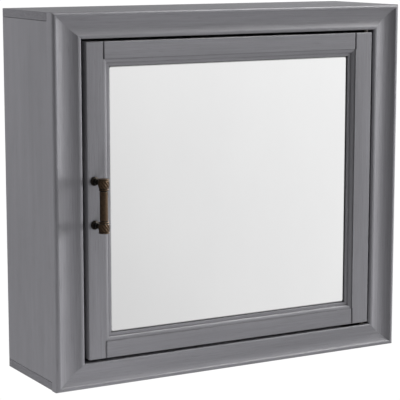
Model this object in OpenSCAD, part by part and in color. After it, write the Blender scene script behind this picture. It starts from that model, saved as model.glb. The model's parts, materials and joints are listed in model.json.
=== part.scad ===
// Hanging wall cabinet with one mirrored inset door.
// Millimetres. X runs to the right seen from the front, Y towards the wall, Z up.
// The origin is the centre of the four wall screws, on the back plane of the cabinet.

/* [Cabinet] */
// Overall width
cabinet_w = 600; // [500:10:800]
// Overall height
cabinet_h = 550; // [500:10:800]
// Depth from the wall to the front of the moulding
cabinet_d = 178; // [160:1:240]
// Thickness of the four carcass panels
panel_t = 13; // [12:0.5:16]
// Thickness of the hardboard back
back_t = 3; // [2:0.5:4]

/* [Front moulding] */
// Width of the left and right mouldings
side_moulding_w = 46.5; // [42:0.5:52]
// Width of the top and bottom mouldings
cross_moulding_w = 38.5; // [36:0.5:52]
// Thickness of the mouldings, front to back
moulding_t = 18; // [18:0.5:22]
// Depth of the hollow below the line between its edges
cove_depth = 4; // [3:0.1:5]

/* [Door] */
// Thickness of the stiles and rails
door_t = 20; // [18:0.5:24]
// Width of the right stile, with its inner moulding
stile_w = 41.5; // [40:0.5:60]
// Width of the rails, with their inner moulding
rail_w = 36; // [34:0.5:60]
// Gap above and below the door
door_gap = 4; // [2.5:0.5:4.5]
// Gap on the hinge side of the door
hinge_gap = 4; // [4:0.5:5]
// Gap on the latch side of the door
latch_gap = 7; // [5:0.5:7.5]
// Setback of the door's face behind the front of the moulding
door_setback = 2; // [1:0.5:2]
// Depth of the mirror below the door's face
mirror_depth = 8; // [7:0.5:9]
// Thickness of the mirror glass
mirror_t = 4; // [3:0.5:4]

/* [Inside] */
// Thickness of the shelves
shelf_t = 12; // [10:1:15]
// Rows of shelf pin holes above and below the middle row
shelf_rows = 4; // [4:1:6]
// Row that carries the shelf pins, counted from the middle row
shelf_row = 3; // [2:1:3]
// Height of the two hanging rails
rail_h = 50; // [40:5:60]

/* [Wall fixing] */
// Distance between the wall screws, side to side
wall_screw_x = 400; // [300:10:400]
// Distance from the inside of the top or bottom to the wall screws
wall_screw_in = 27; // [20:1:27]
// Diameter of the wall screw holes
wall_hole_d = 6; // [5:0.5:7]

/* [Handle] */
// Distance between the two handle screws
handle_pitch = 64; // [64:32:96]
// Diameter of the bar between its ends
bar_d = 12.5; // [11:0.5:13]
// Diameter of the ribbed ends of the bar
bar_end_d = 17; // [16:0.5:18]
// Distance from the door's face to the middle of the bar
handle_reach = 30; // [28:1:34]
// Distance from the door's left edge to the middle of the handle
handle_inset = 11; // [10:0.5:14]

/* [Hidden] */
$fn = 48;

// Colours
paint = [0.48, 0.48, 0.49];
bare_board = [0.62, 0.53, 0.42];
bare_wood = [0.76, 0.62, 0.44];
bronze = [0.23, 0.17, 0.12];
steel = [0.72, 0.72, 0.74];
dark_steel = [0.24, 0.23, 0.22];
plastic_tone = [0.90, 0.90, 0.88];
magnet_tone = [0.25, 0.25, 0.26];
rubber_tone = [0.85, 0.85, 0.82];
glass_tone = [0.86, 0.88, 0.88];

// Small clearances
eps = 0.01;
fit = 0.05;
loose = 0.3;

// Carcass
half_w = cabinet_w / 2;
half_h = cabinet_h / 2;
carcass_d = cabinet_d - moulding_t;
side_inset = 0.6;
panel_round = 1;
inner_x = half_w - side_inset - panel_t;
inner_z = half_h - panel_t;
rebate_w = panel_t / 2;
back_x = inner_x + rebate_w - fit;
back_z = inner_z + rebate_w - fit;

// Hanging rails
hang_rail_t = 15;
hang_rail_front = -back_t - hang_rail_t;
wall_z = inner_z - wall_screw_in;

// Front moulding: the outline is drawn for a width of 44 and stretched to each width
front_y = -cabinet_d;
outline_w = 44;
bead_r = 5;
bead_inner_r = 3.2;
bead_inner_start = 80;
bead_inner_end = 35;
hollow_x = 38;
roll_r = 4.5;
roll_angle = 24;
lip_r = 3;
lip_drop = door_setback;
open_x = half_w - side_moulding_w;
open_z = half_h - cross_moulding_w;
arc_steps = 9;
cove_steps = 18;
roll_steps = 3;

// Door
door_x = open_x - hinge_gap;
door_left = open_x - latch_gap;
door_z = open_z - door_gap;
face_y = front_y + door_setback;
door_back_y = face_y + door_t;
arris_r = 1.5;
ovolo_w = 11;
stile_flat = stile_w - ovolo_w;
rail_flat = rail_w - ovolo_w;
groove = 1.3;
quirk_notch = 0.6;
quirk = 1.2;
ovolo_run = 6.2;
ovolo_drop = 3.7;
ovolo_steps = 8;
mirror_lap = 7;
mirror_play = 0.5;
mirror_y = face_y + mirror_depth;
backing_y = mirror_y + mirror_t;
backing_t = 3;
bead_y = backing_y + backing_t;
seat_x = door_x - stile_w + mirror_lap;
seat_z = door_z - rail_w + mirror_lap;
bead_w = mirror_lap;
bead_pin_d = 1.4;
bead_pin_len = 14;
bead_pin_spread = 0.7;

// Dowels
dowel_d = 8;
dowel_len = 30;
dowel_in_panel = 9;
thin_dowel_d = 6;
frame_dowel_len = 20;
frame_dowel_in = 9;
door_dowel_len = 40;
door_dowel_in = 19;
door_dowel_pitch = 9;
chamfer = 0.8;
dowel_y = [-carcass_d * 0.25, -carcass_d * 0.8];
frame_dowel_z = [-half_h * 0.7, 0, half_h * 0.7];
frame_dowel_x = [-half_w * 0.75, -half_w * 0.25, half_w * 0.25, half_w * 0.75];

// Mitre biscuits
biscuit_r = 32;
biscuit_w = 14;
biscuit_t = 4;
biscuit_y = front_y + moulding_t - 5;

// Nails in the back
nail_d = 1.6;
nail_len = 16;
nail_head_d = 4;
nail_head_t = 0.8;
nails_x = 5;
nails_z = 4;
nail_x = half_w - side_inset - panel_t + rebate_w / 2;
nail_z = inner_z + rebate_w / 2;
nail_end_z = half_h - 60;
nail_end_x = half_w - 70;

// Shelves
shelf_pitch = 32;
shelf_clear = 1;
shelf_front_y = door_back_y + 10;
shelf_back_y = -back_t - 1;
pin_hole_d = 5;
pin_hole_depth = 9;
pin_y = [-40, shelf_front_y + 30];
lug_w = 10;
lug_h = 6;
lug_len = 7;
pin_drop = lug_h / 2;

// Pivot hinges
pivot_in = 8;
pivot_x = door_x - pivot_in;
leaf_t = 2;
leaf_w = 9;
pivot_y = front_y + lip_drop + lip_r + leaf_w / 2;
leaf_len = 45;
pivot_d = 5;
pivot_play = 0.04;
pivot_depth = 10;
pin_len = pivot_depth + door_gap + leaf_t;
washer_d = 9;
washer_clear = 0.1;
leaf_screw_x = [18, 36];
leaf_screw_d = 3;
leaf_screw_head = 6;
leaf_screw_len = 10;

// Magnetic catch and stops on the latch side
catch_z = 66;
catch_h = 40;
catch_block_w = inner_x - open_x - 2;
catch_d = 14;
catch_w = 25;
catch_gap = 0.4;
catch_x = -open_x - 2;
magnet_w = 10;
magnet_h = 24;
magnet_t = 8;
catch_screw_d = 3;
catch_screw_head = 5.6;
catch_screw_head_t = 2;
catch_screw_bore = 6.5;
catch_screw_in = 9;
catch_screw_edge = 4;
strike_w = 12;
strike_t = 1.5;
strike_x = -door_left + 3;
strike_screw_d = 2.5;
strike_screw_head = 5;
strike_screw_len = 12;
strike_screw_edge = 6;
stop_h = 24;
stop_t = 16;
stop_reach = 16;
stop_z = door_z - 45;
bumper_d = 8;
bumper_t = 2;
bumper_x = -door_left + 6;
bumper_round = 0.8;

// Handle
handle_x = -door_left + handle_inset;
bar_y = face_y - handle_reach;
bar_end_len = 15;
bar_len = handle_pitch + 16;
bar_ribs = 4;
rib_start = 3.6;
rib_pitch = 2.6;
rib_depth = 0.6;
neck_len = 2;
neck_slope = 0.8;
neck_cut = 0.6;
collar_rise = 1.5;
collar_out = 0.4;
end_round_h = 1.6;
end_round_w = 1.8;
end_dish_w = 4;
end_dish_h = 0.5;
post_d = 6.5;
post_in_bar = 1.5;
post_fillet = 2.6;
post_fillet_h = 8;
base_d = 13;
base_t = 1.2;
base_round = 2;
screw_d = 4;
screw_hole_d = 4.5;
screw_head_d = 8;
screw_head_t = 2.6;
screw_in_post = 9;

// Points of an arc
function arc_points(cx, cy, r, a0, a1, n) =
    [for (i = [0:n]) let(a = a0 + (a1 - a0) * i / n) [cx + r * cos(a), cy + r * sin(a)]];

// Front outline of the moulding, from the outer edge to the opening, height 0 at the bead
bead_end = [bead_r + bead_inner_r * cos(bead_inner_end),
            bead_inner_r * (sin(bead_inner_end) - 1)];
lip_c = [outline_w - lip_r, -lip_drop - lip_r];
hollow_end = [hollow_x, -lip_drop - roll_r * (1 - cos(roll_angle))];
hollow_chord = hollow_end - bead_end;
hollow_half = norm(hollow_chord) / 2;
hollow_r = (hollow_half * hollow_half + cove_depth * cove_depth) / (2 * cove_depth);
hollow_lean = atan2(hollow_chord[1], hollow_chord[0]);
hollow_turn = asin(hollow_half / hollow_r);
hollow_c = (bead_end + hollow_end) / 2 + (hollow_r - cove_depth) * [-sin(hollow_lean), cos(hollow_lean)];
roll_c = [hollow_x + roll_r * sin(roll_angle), -lip_drop - roll_r];
outline = concat(
    arc_points(bead_r, -bead_r, bead_r, 180, 90, arc_steps),
    arc_points(bead_r, -bead_inner_r, bead_inner_r, bead_inner_start, bead_inner_end, arc_steps),
    arc_points(hollow_c[0], hollow_c[1], hollow_r, 270 + hollow_lean - hollow_turn,
               270 + hollow_lean + hollow_turn, cove_steps),
    arc_points(roll_c[0], roll_c[1], roll_r, 90 + roll_angle / 2, 90, roll_steps),
    arc_points(lip_c[0], lip_c[1], lip_r, 90, 0, arc_steps)
);

// Moulding section in X and Y: outer edge at x = 0, opening at x = w, front at y = 0
module moulding_section(w) {
    k = w / outline_w;
    polygon(concat(
        [[0, moulding_t]],
        [for (p = outline) [p[0] * k, -p[1]]],
        [[w, moulding_t]]
    ));
}

// Trapezium between the outer corners and the opening, seen from the front
module mitre_region(outer_w, outer_h, hole_w, hole_h, side) {
    rotate([90, 0, 0])
        translate([0, 0, -eps])
            linear_extrude(cabinet_d + 1)
                polygon(side
                    ? [[-outer_w, -outer_h], [-hole_w, -hole_h], [-hole_w, hole_h], [-outer_w, outer_h]]
                    : [[-outer_w, outer_h], [-hole_w, hole_h], [hole_w, hole_h], [outer_w, outer_h]]);
}

// Left moulding before the joinery cuts
module side_moulding_blank() {
    intersection() {
        translate([-half_w, front_y, -half_h])
            linear_extrude(cabinet_h) moulding_section(side_moulding_w);
        mitre_region(half_w, half_h, open_x, open_z, true);
    }
}

// Top moulding before the joinery cuts
module cross_moulding_blank() {
    intersection() {
        translate([-half_w, front_y, half_h])
            rotate([0, 90, 0])
                linear_extrude(cabinet_w) moulding_section(cross_moulding_w);
        mitre_region(half_w, half_h, open_x, open_z, false);
    }
}

// Dowel along Z with chamfered ends
module dowel(d, len, grow = 0) {
    r = d / 2 + grow;
    c = chamfer;
    rotate_extrude()
        polygon([[0, -grow], [r - c, -grow], [r, c - grow], [r, len - c + grow],
                 [r - c, len + grow], [0, len + grow]]);
}

// Round hole along Z from the origin
module hole(d, len) {
    translate([0, 0, -eps]) cylinder(d = d, h = len + eps);
}

// Carcass dowels, up through the four corners of the carcass
module place_carcass_dowels() {
    for (sx = [-1, 1], y = dowel_y)
        translate([sx * (inner_x + panel_t / 2), y, 0]) children();
}

module carcass_dowel_row(grow = 0) {
    place_carcass_dowels()
        translate([0, 0, inner_z - (dowel_len - dowel_in_panel)]) dowel(dowel_d, dowel_len, grow);
}

// Frame dowels, forwards out of the carcass edges
module frame_dowel(grow = 0) {
    rotate([90, 0, 0])
        translate([0, 0, carcass_d - (frame_dowel_len - frame_dowel_in)])
            dowel(thin_dowel_d, frame_dowel_len, grow);
}

module side_frame_dowels(sx, grow = 0) {
    for (z = frame_dowel_z)
        translate([sx * (inner_x + panel_t / 2), 0, z]) frame_dowel(grow);
}

module cross_frame_dowels(sz, grow = 0) {
    for (x = frame_dowel_x)
        translate([x, 0, sz * (inner_z + panel_t / 2)]) frame_dowel(grow);
}

// Rail dowels, sideways out of the hanging rails into one side panel
module side_rail_dowels(sx, grow = 0) {
    for (sz = [-1, 1], dz = [-1, 1])
        translate([sx * (inner_x - (dowel_len - dowel_in_panel)), -back_t - hang_rail_t / 2,
                   sz * (inner_z - rail_h / 2) + dz * rail_h / 4])
            rotate([0, sx * 90, 0]) dowel(dowel_d, dowel_len, grow);
}

// Biscuit across one mitre, in the X and Z plane
module biscuit(grow = 0) {
    rotate([90, 0, 0])
        translate([0, 0, -biscuit_t / 2 - grow])
            linear_extrude(biscuit_t + 2 * grow)
                intersection() {
                    translate([0, biscuit_r - biscuit_w / 2]) circle(r = biscuit_r + grow);
                    translate([0, -biscuit_r + biscuit_w / 2]) circle(r = biscuit_r + grow);
                }
}

module corner_biscuits(grow = 0) {
    turn = atan2(cross_moulding_w, side_moulding_w);
    for (sx = [-1, 1], sz = [-1, 1])
        translate([sx * (half_w - side_moulding_w / 2), biscuit_y, sz * (half_h - cross_moulding_w / 2)])
            rotate([0, sx * sz * (turn - 90), 0]) biscuit(grow);
}

// Places of the back nails, on the back plane
module place_side_nails(sx) {
    for (i = [0:nails_z - 1])
        translate([sx * nail_x, 0, (2 * i / (nails_z - 1) - 1) * nail_end_z])
            rotate([90, 0, 0]) children();
}

module place_cross_nails(sz) {
    for (i = [0:nails_x - 1])
        translate([(2 * i / (nails_x - 1) - 1) * nail_end_x, 0, sz * nail_z])
            rotate([90, 0, 0]) children();
}

module nail() {
    cylinder(d = nail_head_d, h = nail_head_t);
    cylinder(d = nail_d, h = nail_len);
}

module nail_hole() {
    hole(nail_head_d + 2 * fit, nail_head_t);
    hole(nail_d + 2 * fit, nail_len + fit);
}

// Wall screw holes
module wall_holes() {
    for (sx = [-1, 1], sz = [-1, 1])
        translate([sx * wall_screw_x / 2, eps, sz * wall_z])
            rotate([90, 0, 0]) cylinder(d = wall_hole_d, h = back_t + hang_rail_t + 1);
}

// Shelf pin holes in one side panel
module shelf_holes(sx) {
    for (row = [-shelf_rows:shelf_rows], y = pin_y)
        translate([sx * (inner_x - eps), y, row * shelf_pitch])
            rotate([0, sx * 90, 0]) cylinder(d = pin_hole_d + 2 * fit, h = pin_hole_depth);
}

// Panel seen end on, with all its long edges slightly rounded
module rounded_bar(size) {
    r = panel_round;
    linear_extrude(size[2])
        union() {
            translate([r, 0]) square([size[0] - 2 * r, size[1]]);
            translate([0, r]) square([size[0], size[1] - 2 * r]);
            for (x = [r, size[0] - r], y = [r, size[1] - r])
                translate([x, y]) circle(r = r);
        }
}

// Top panel, lying over the ends of the side panels
module cross_panel() {
    difference() {
        translate([-half_w, 0, half_h - panel_t])
            rotate([90, 0, 0]) rounded_bar([cabinet_w, panel_t, carcass_d]);
        translate([-inner_x - rebate_w, -back_t, inner_z - 1])
            cube([2 * (inner_x + rebate_w), back_t + 1, rebate_w + 1]);
        carcass_dowel_row(fit);
        cross_frame_dowels(1, fit);
        place_cross_nails(1) nail_hole();
    }
}

module top_panel() {
    color(paint) cross_panel();
}

module bottom_panel() {
    color(paint) mirror([0, 0, 1]) cross_panel();
}

// Side panel, between the top and bottom panels
module side_panel(sx) {
    color(paint)
        difference() {
            translate([sx > 0 ? inner_x : -inner_x - panel_t, -carcass_d, -inner_z])
                cube([panel_t, carcass_d, 2 * inner_z]);
            translate([sx > 0 ? inner_x - 1 : -inner_x - rebate_w, -back_t, -inner_z - 1])
                cube([rebate_w + 1, back_t + 1, 2 * inner_z + 2]);
            carcass_dowel_row(fit);
            mirror([0, 0, 1]) carcass_dowel_row(fit);
            side_frame_dowels(sx, fit);
            side_rail_dowels(sx, fit);
            place_side_nails(sx) nail_hole();
            shelf_holes(sx);
        }
}

module side_panel_left() {
    side_panel(-1);
}

module side_panel_right() {
    side_panel(1);
}

// Hardboard back in the rebates
module back_panel() {
    color(bare_board)
        difference() {
            translate([-back_x, -back_t, -back_z]) cube([2 * back_x, back_t, 2 * back_z]);
            wall_holes();
            for (s = [-1, 1]) {
                place_side_nails(s) nail_hole();
                place_cross_nails(s) nail_hole();
            }
        }
}

// Rail that the wall screws go through
module hanging_rail(sz) {
    color(paint)
        difference() {
            translate([-inner_x, hang_rail_front, sz > 0 ? inner_z - rail_h : -inner_z])
                cube([2 * inner_x, hang_rail_t, rail_h]);
            wall_holes();
            for (sx = [-1, 1]) side_rail_dowels(sx, fit);
        }
}

module hanging_rail_upper() {
    hanging_rail(1);
}

module hanging_rail_lower() {
    hanging_rail(-1);
}

// Mitred front mouldings
module cross_moulding(sz) {
    color(paint)
        difference() {
            mirror([0, 0, sz > 0 ? 0 : 1]) cross_moulding_blank();
            cross_frame_dowels(sz, fit);
            corner_biscuits(fit);
            mirror([0, 0, sz > 0 ? 0 : 1]) frame_leaf_recess();
        }
}

module side_moulding(sx) {
    color(paint)
        difference() {
            mirror([sx > 0 ? 1 : 0, 0, 0]) side_moulding_blank();
            side_frame_dowels(sx, fit);
            corner_biscuits(fit);
        }
}

module moulding_top() {
    cross_moulding(1);
}

module moulding_bottom() {
    cross_moulding(-1);
}

module moulding_left() {
    side_moulding(-1);
}

module moulding_right() {
    side_moulding(1);
}

// Shelf with rounded front and back edges
module shelf(row) {
    color(paint)
        translate([inner_x - shelf_clear, shelf_back_y, row * shelf_pitch + pin_drop])
            rotate([0, 0, 180])
                rotate([90, 0, 90])
                    rounded_bar([shelf_back_y - shelf_front_y, shelf_t, 2 * (inner_x - shelf_clear)]);
}

module shelf_upper() {
    shelf(shelf_row);
}

module shelf_lower() {
    shelf(-shelf_row);
}

// Shelf pins: a round peg in the panel and a flat lug under the shelf
module shelf_pins() {
    color(steel)
        for (sx = [-1, 1], row = [-shelf_row, shelf_row], y = pin_y)
            translate([sx * inner_x, y, row * shelf_pitch]) {
                rotate([0, sx * 90, 0]) cylinder(d = pin_hole_d, h = pin_hole_depth - 1);
                translate([sx > 0 ? -lug_len : 0, -lug_w / 2, -lug_h / 2]) cube([lug_len, lug_w, lug_h]);
            }
}

module carcass_dowels() {
    color(bare_wood) {
        carcass_dowel_row();
        mirror([0, 0, 1]) carcass_dowel_row();
    }
}

module frame_dowels() {
    color(bare_wood)
        for (s = [-1, 1]) {
            side_frame_dowels(s);
            cross_frame_dowels(s);
        }
}

module rail_dowels() {
    color(bare_wood)
        for (sx = [-1, 1]) side_rail_dowels(sx);
}

module mitre_biscuits() {
    color(bare_wood) corner_biscuits();
}

module back_nails() {
    color(steel)
        for (s = [-1, 1]) {
            place_side_nails(s) nail();
            place_cross_nails(s) nail();
        }
}

// Countersunk screw along +Z, head at the origin
module countersunk(d, head_d, len) {
    head_h = (head_d - d) / 2;
    cylinder(d1 = head_d, d2 = d, h = head_h);
    cylinder(d = d, h = len - d / 2);
    translate([0, 0, len - d / 2]) cylinder(d1 = d, d2 = d / 4, h = d / 2);
}

module countersunk_hole(d, head_d, len) {
    head_h = (head_d - d) / 2;
    translate([0, 0, -eps]) cylinder(d1 = head_d + 2 * (fit + eps), d2 = d + 2 * fit, h = head_h + fit + eps);
    hole(d + 2 * fit, len + fit);
}

// Catch: a block behind the left moulding, a housing with a magnet, and two screws
module catch_screw_places() {
    for (dz = [-1, 1])
        translate([catch_x + catch_w - catch_screw_in, door_back_y + catch_gap + catch_d - catch_screw_edge,
                   catch_z + dz * (catch_h / 2 - catch_screw_edge)])
            rotate([0, -90, 0]) children();
}

module catch_block() {
    color(paint)
        difference() {
            translate([catch_x - catch_block_w, -carcass_d, catch_z - catch_h / 2])
                cube([catch_block_w, door_back_y + catch_gap + catch_d + carcass_d, catch_h]);
            catch_screw_places() hole(catch_screw_d + 2 * fit, catch_w + catch_screw_edge);
        }
}

module catch_housing() {
    color(plastic_tone)
        difference() {
            translate([catch_x, door_back_y + catch_gap, catch_z - catch_h / 2])
                cube([catch_w, catch_d, catch_h]);
            translate([strike_x + (strike_w - magnet_w) / 2 - fit, door_back_y, catch_z - magnet_h / 2 - fit])
                cube([magnet_w + 2 * fit, catch_gap + magnet_t + fit, magnet_h + 2 * fit]);
            catch_screw_places() {
                hole(catch_screw_d + 2 * fit, catch_w);
                translate([0, 0, -catch_w]) cylinder(d = catch_screw_bore, h = catch_w + eps);
            }
        }
}

module catch_magnet() {
    color(magnet_tone)
        translate([strike_x + (strike_w - magnet_w) / 2, door_back_y + catch_gap, catch_z - magnet_h / 2])
            cube([magnet_w, magnet_t, magnet_h]);
}

module catch_screws() {
    color(steel)
        catch_screw_places() {
            cylinder(d = catch_screw_d, h = catch_w);
            translate([0, 0, -catch_screw_head_t]) cylinder(d = catch_screw_head, h = catch_screw_head_t);
        }
}

// Wooden stops behind the left moulding, one near each end of the door
module stop_blocks() {
    step_y = door_t - moulding_t + door_setback + bumper_t + loose;
    color(paint)
        for (sz = [-1, 1])
            translate([-inner_x, -carcass_d, sz * stop_z - stop_h / 2])
                difference() {
                    cube([inner_x - door_left + stop_reach, step_y - door_setback + stop_t, stop_h]);
                    translate([inner_x - open_x, -1, -1])
                        cube([side_moulding_w + stop_reach, step_y + 1, stop_h + 2]);
                }
}

// Pivot hinge leaf, round about the pivot, drawn from above
module leaf_shape(grow = 0) {
    circle(d = leaf_w + 2 * grow);
    translate([-leaf_len + leaf_w / 2 - grow, -leaf_w / 2 - grow])
        square([leaf_len - leaf_w / 2 + grow, leaf_w + 2 * grow]);
}

// Frame leaf recess at the top of the opening, with the room for its pin and screws
module frame_leaf_recess() {
    translate([pivot_x, pivot_y, open_z]) {
        translate([0, 0, -1]) linear_extrude(leaf_t + 1 + fit) leaf_shape(fit);
        for (x = leaf_screw_x)
            translate([-x, 0, 0]) hole(leaf_screw_d + 2 * fit, leaf_screw_len + fit);
    }
}

module frame_leaf() {
    color(dark_steel)
        translate([pivot_x, pivot_y, open_z])
            difference() {
                linear_extrude(leaf_t) leaf_shape();
                translate([0, 0, -1]) cylinder(d = pivot_d + pivot_play, h = leaf_t + 2);
                for (x = leaf_screw_x)
                    translate([-x, 0, 0]) countersunk_hole(leaf_screw_d, leaf_screw_head, leaf_screw_len);
            }
}

module frame_leaf_screws() {
    translate([pivot_x, pivot_y, open_z])
        for (x = leaf_screw_x)
            translate([-x, 0, 0]) countersunk(leaf_screw_d, leaf_screw_head, leaf_screw_len);
}

// Pivot pin, fixed in the frame leaf and turning in the door leaf
module pivot_pin() {
    color(steel)
        translate([pivot_x, pivot_y, door_z - pivot_depth])
            rotate_extrude()
                polygon([[0, 0], [pivot_d / 2 - chamfer, 0], [pivot_d / 2, chamfer],
                         [pivot_d / 2, pin_len], [0, pin_len]]);
}

module pivot_washer() {
    color(dark_steel)
        translate([pivot_x, pivot_y, door_z + washer_clear])
            difference() {
                cylinder(d = washer_d, h = door_gap - washer_clear);
                translate([0, 0, -1]) cylinder(d = pivot_d + pivot_play, h = door_gap + 2);
            }
}

module hinge_frame_leaf_top() {
    frame_leaf();
}

module hinge_frame_leaf_bottom() {
    mirror([0, 0, 1]) frame_leaf();
}

module hinge_pin_top() {
    pivot_pin();
}

module hinge_pin_bottom() {
    mirror([0, 0, 1]) pivot_pin();
}

module hinge_washer_top() {
    pivot_washer();
}

module hinge_washer_bottom() {
    mirror([0, 0, 1]) pivot_washer();
}

module hinge_frame_screws() {
    color(steel) {
        frame_leaf_screws();
        mirror([0, 0, 1]) frame_leaf_screws();
    }
}

// Door leaf in the top edge of the door
module door_leaf() {
    color(dark_steel)
        translate([pivot_x, pivot_y, door_z - leaf_t])
            difference() {
                linear_extrude(leaf_t) leaf_shape();
                translate([0, 0, -1]) cylinder(d = pivot_d + 2 * fit, h = leaf_t + 2);
                for (x = leaf_screw_x)
                    translate([-x, 0, leaf_t]) mirror([0, 0, 1])
                        countersunk_hole(leaf_screw_d, leaf_screw_head, leaf_screw_len);
            }
}

module door_leaf_screws() {
    translate([pivot_x, pivot_y, door_z])
        for (x = leaf_screw_x)
            translate([-x, 0, 0])
                mirror([0, 0, 1]) countersunk(leaf_screw_d, leaf_screw_head, leaf_screw_len);
}

module door_leaf_recess() {
    translate([pivot_x, pivot_y, door_z]) {
        translate([0, 0, -leaf_t - fit]) linear_extrude(leaf_t + 1) leaf_shape(fit);
        mirror([0, 0, 1]) hole(pivot_d + 1, pivot_depth + 1);
        for (x = leaf_screw_x)
            translate([-x, 0, 0]) mirror([0, 0, 1]) hole(leaf_screw_d + 2 * fit, leaf_screw_len + fit);
    }
}

module hinge_door_leaf_top() {
    door_leaf();
}

module hinge_door_leaf_bottom() {
    mirror([0, 0, 1]) door_leaf();
}

module hinge_door_screws() {
    color(steel) {
        door_leaf_screws();
        mirror([0, 0, 1]) door_leaf_screws();
    }
}

// Section of a door panel whose two front edges are rounded: width along X, face at y = 0
module door_envelope_section(half) {
    difference() {
        translate([-half, 0]) square([2 * half, door_t]);
        for (s = [-1, 1])
            translate([s * (half - arris_r), arris_r])
                difference() {
                    translate([s > 0 ? 0 : -arris_r - 1, -arris_r - 1]) square([arris_r + 1, arris_r + 1]);
                    circle(r = arris_r);
                }
    }
}

// The door slab with its front edges rounded, out to edge_x on both sides
module door_envelope(edge_x) {
    intersection() {
        translate([0, face_y, -door_z]) linear_extrude(2 * door_z) door_envelope_section(edge_x);
        translate([-edge_x, face_y, 0])
            rotate([90, 0, 90]) linear_extrude(2 * edge_x)
                rotate(-90) mirror([1, 0]) door_envelope_section(door_z);
    }
}

// Flat part of a stile or rail from above: outer edge at x = 0, chamfered for the joint groove
module flat_section(w) {
    polygon([[0, 0], [w - groove, 0], [w, groove], [w, door_t], [0, door_t]]);
}

// Inner moulding: quirk, ovolo, fillet and the rebate for the mirror
module ovolo_section() {
    curve = [for (i = [0:ovolo_steps]) let(a = 90 * i / ovolo_steps)
             [ovolo_run * sin(a), quirk + ovolo_drop * (1 - cos(a))]];
    polygon(concat(curve,
        [[ovolo_w, quirk + ovolo_drop], [ovolo_w, mirror_depth], [ovolo_w - mirror_lap, mirror_depth],
         [ovolo_w - mirror_lap, door_t], [0, door_t]]));
}

// Left stile before the joinery cuts, cut back to edge_x
module stile_blank(edge_x) {
    intersection() {
        translate([-door_x, face_y, -door_z]) linear_extrude(2 * door_z) flat_section(stile_flat);
        door_envelope(edge_x);
    }
    intersection() {
        translate([-door_x + stile_flat, face_y, -door_z]) linear_extrude(2 * door_z) ovolo_section();
        mitre_region(door_x - stile_flat, door_z - rail_flat, door_x - stile_w, door_z - rail_w, true);
    }
}

// Top rail before the joinery cuts
module rail_blank() {
    rail_x = door_x - stile_flat;
    intersection() {
        translate([-rail_x, face_y, door_z])
            rotate([0, 90, 0]) linear_extrude(2 * rail_x)
                difference() {
                    square([rail_flat, door_t]);
                    translate([rail_flat, 0]) rotate(45) square(quirk_notch, center = true);
                }
        door_envelope(door_x);
        rotate([90, 0, 0]) translate([0, 0, -1]) linear_extrude(cabinet_d)
            translate([-rail_x, 0]) square([2 * rail_x, door_z + 1]);
        translate([0, face_y, 0]) linear_extrude(door_z + 1)
            polygon([[-rail_x + groove, 0], [rail_x - groove, 0], [rail_x, groove], [rail_x, door_t],
                     [-rail_x, door_t], [-rail_x, groove]]);
    }
    intersection() {
        translate([-rail_x, face_y, door_z - rail_flat])
            rotate([0, 90, 0]) linear_extrude(2 * rail_x) ovolo_section();
        mitre_region(door_x - stile_flat, door_z - rail_flat, door_x - stile_w, door_z - rail_w, false);
    }
}

// Dowels between the rails and one stile
module door_dowel_row(sx, grow = 0) {
    for (sz = [-1, 1], dz = [-1, 1])
        translate([sx * (door_x - stile_flat - door_dowel_len / 2), face_y + door_t / 2,
                   sz * (door_z - door_dowel_in) + dz * door_dowel_pitch / 2])
            rotate([0, sx * 90, 0]) dowel(thin_dowel_d, door_dowel_len, grow);
}

// Handle screw positions on the door's back, pointing forwards
module handle_screw_places() {
    for (sz = [-1, 1])
        translate([handle_x, door_back_y, sz * handle_pitch / 2]) rotate([90, 0, 0]) children();
}

// Strike plate screws, into the door's back
module strike_screw_places() {
    for (dz = [-1, 1])
        translate([strike_x + strike_w / 2, door_back_y, catch_z + dz * (catch_h / 2 - strike_screw_edge)])
            rotate([90, 0, 0]) children();
}

module stile(sx) {
    color(paint)
        difference() {
            mirror([sx > 0 ? 1 : 0, 0, 0]) stile_blank(sx > 0 ? door_x : door_left);
            door_dowel_row(sx, fit);
            side_bead_pins(sx, fit);
            if (sx > 0) {
                door_leaf_recess();
                mirror([0, 0, 1]) door_leaf_recess();
            } else {
                handle_screw_places() hole(screw_hole_d, door_t + 1);
                strike_screw_places() hole(strike_screw_d + 2 * fit, strike_screw_len + fit);
                translate([strike_x - fit, door_back_y - strike_t - fit, catch_z - catch_h / 2 - fit])
                    cube([strike_w + 2 * fit, strike_t + 1, catch_h + 2 * fit]);
            }
        }
}

module door_rail(sz) {
    color(paint)
        difference() {
            mirror([0, 0, sz > 0 ? 0 : 1]) rail_blank();
            for (sx = [-1, 1]) door_dowel_row(sx, fit);
            cross_bead_pins(sz, fit);
            mirror([0, 0, sz > 0 ? 0 : 1]) door_leaf_recess();
        }
}

module door_stile_left() {
    stile(-1);
}

module door_stile_right() {
    stile(1);
}

module door_rail_top() {
    door_rail(1);
}

module door_rail_bottom() {
    door_rail(-1);
}

module door_dowels() {
    color(bare_wood)
        for (sx = [-1, 1]) door_dowel_row(sx);
}

// Mirror and its backing board, in the rebate
module pane(y, t, play) {
    translate([-seat_x + play, y, -seat_z + play])
        cube([2 * (seat_x - play), t, 2 * (seat_z - play)]);
}

module mirror_glass() {
    color(glass_tone) pane(mirror_y, mirror_t, mirror_play);
}

module mirror_backing() {
    color(bare_board) pane(backing_y, backing_t, mirror_play);
}

// Beads that hold the mirror, mitred at the corners
module bead_side() {
    intersection() {
        translate([-seat_x, bead_y, -seat_z]) cube([bead_w, door_back_y - bead_y, 2 * seat_z]);
        mitre_region(seat_x, seat_z, seat_x - bead_w, seat_z - bead_w, true);
    }
}

module bead_cross() {
    intersection() {
        translate([-seat_x, bead_y, seat_z - bead_w]) cube([2 * seat_x, door_back_y - bead_y, bead_w]);
        mitre_region(seat_x, seat_z, seat_x - bead_w, seat_z - bead_w, false);
    }
}

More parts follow.
